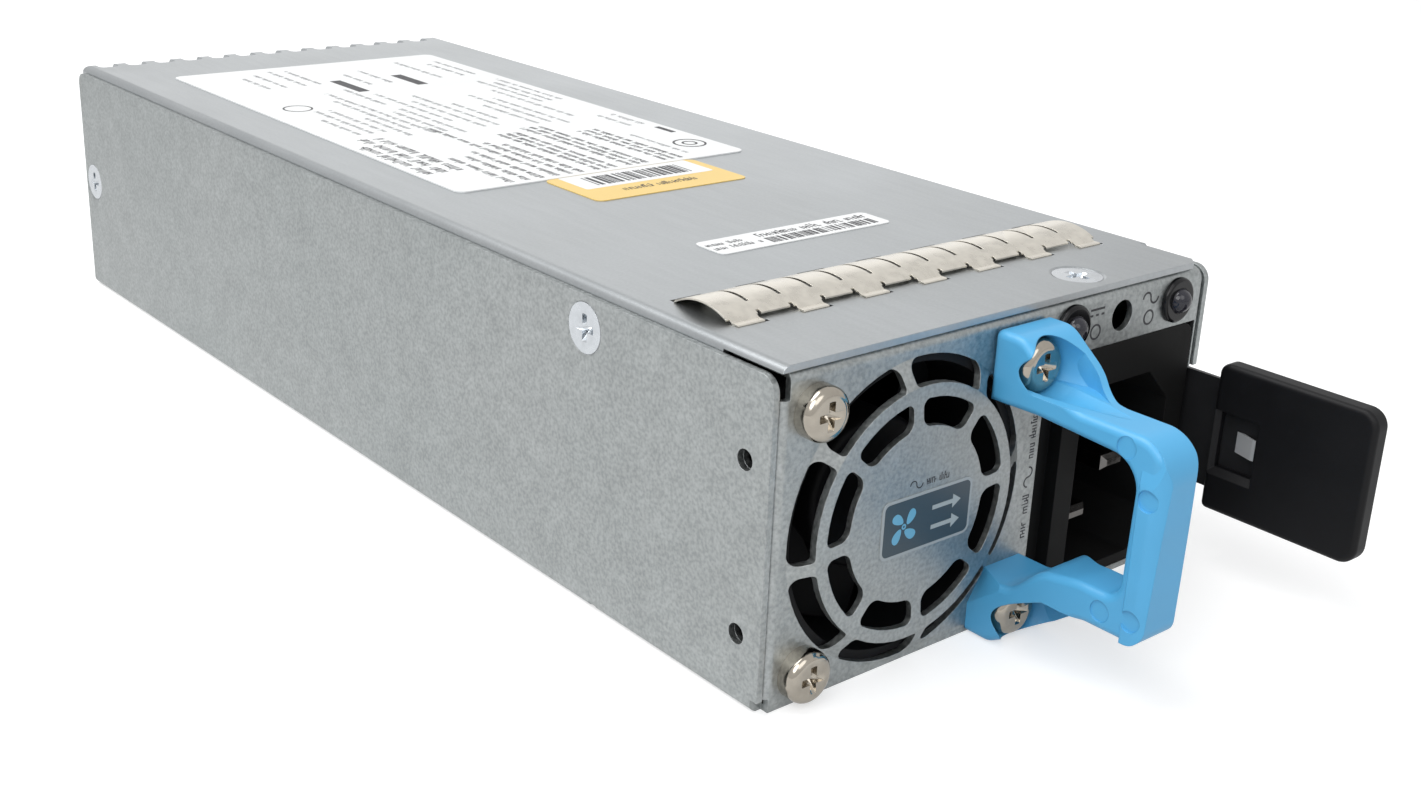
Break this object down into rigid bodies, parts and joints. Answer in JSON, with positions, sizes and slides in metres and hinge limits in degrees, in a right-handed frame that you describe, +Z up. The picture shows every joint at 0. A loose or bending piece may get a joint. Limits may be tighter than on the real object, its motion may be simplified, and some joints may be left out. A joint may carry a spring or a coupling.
{
  "type": "hot swap server power supply",
  "caption": "Slim plug-in server power supply with folded steel case, guarded cooling fan, mains inlet, pull handle, release latch, contact finger strip and card edge.",
  "frame": {"origin": "middle of the flat underside of the case", "axes": "+X to the right seen from the front, +Y from the front panel to the rear card edge, +Z up"},
  "size_m": [0.0744, 0.2211, 0.0415],
  "materials": {
    "galvanised_steel": "mottled zinc coating",
    "satin_steel": "satin",
    "zinc_screws": "bright zinc",
    "finger_metal": "plated spring strip",
    "blue_plastic": "smooth moulded",
    "nickel_screws": "nickel plated",
    "fan_plastic": "matt",
    "steel_shaft": "ground",
    "magnet": "bonded ferrite",
    "bearing_steel": "ground",
    "laminations": "laminated",
    "inlet_plastic": "matt",
    "pin_metal": "nickel plated",
    "spring_steel": "bright",
    "paddle_plastic": "soft sheen",
    "bezel_plastic": "gloss",
    "led_lens": "smoky clear",
    "circuit_board": "solder mask",
    "gold_contacts": "gold plated",
    "brass": "turned",
    "insulation": "thin film",
    "ferrite": "ferrite",
    "copper": "enamelled wire",
    "yellow_case": "taped",
    "blue_disc": "dipped",
    "white_ceramic": "smooth",
    "black_case": "moulded",
    "heatsink_aluminium": "extruded",
    "capacitor_sleeve": "shrink sleeve",
    "capacitor_can": "drawn can",
    "black_wire": "insulated lead",
    "brown_wire": "insulated lead"
  },
  "bodies": {
    "case": {"chassis": "galvanised_steel", "top_cover": "satin_steel", "case_screws": "zinc_screws", "emi_finger_strip": "finger_metal", "pull_handle": "blue_plastic", "handle_screws": "nickel_screws", "fan_screws": "nickel_screws", "fan_frame": "fan_plastic", "fan_bearings": "bearing_steel", "fan_stator": "laminations", "inlet_housing": "inlet_plastic", "inlet_earth_pin": "pin_metal", "inlet_line_pins": "pin_metal", "latch_leaf_root": "spring_steel", "latch_rivets": "zinc_screws", "led_bezels": "bezel_plastic", "led_lenses": "led_lens", "led_board": "circuit_board", "main_board": "circuit_board", "edge_contacts": "gold_contacts", "board_standoffs": "brass", "board_screws": "zinc_screws", "insulating_sheet": "insulation", "choke_cores": "ferrite", "choke_windings": "copper", "x_capacitors": "yellow_case", "y_capacitors": "blue_disc", "fuse": "white_ceramic", "relay": "black_case", "bridge_rectifier": "black_case", "primary_heatsink": "heatsink_aluminium", "power_transistors": "black_case", "pfc_choke_core": "ferrite", "pfc_choke_winding": "copper", "bulk_capacitor": "capacitor_sleeve", "transformer_core": "ferrite", "transformer_winding": "yellow_case", "standby_transformer": "yellow_case", "output_heatsink": "heatsink_aluminium", "output_transistors": "black_case", "output_busbars": "copper", "output_capacitors": "capacitor_can", "control_board": "circuit_board", "control_chips": "black_case", "fan_connector": "white_ceramic", "fan_wires": "black_wire", "inlet_wires": "brown_wire", "earth_lug": "pin_metal"},
    "fan_rotor": {"fan_rotor": "fan_plastic", "fan_shaft": "steel_shaft", "fan_magnet": "magnet"},
    "latch": {"latch_leaf": "spring_steel", "latch_paddle": "paddle_plastic"}
  },
  "joints": [
    {"name": "fan_spin", "type": "hinge", "parent": "case", "child": "fan_rotor", "pos_m": [-0.01565, -0.0785, 0.01905], "axis": [0, 1, 0], "continuous": true},
    {"name": "latch_press", "type": "hinge", "parent": "case", "child": "latch", "pos_m": [0.0351, -0.0545, 0.0178], "axis": [0, 0, -1], "range_deg": [0, 1.75], "stiffness_Nm_per_rad": 1.5, "springref_deg": -2.29}
  ]
}
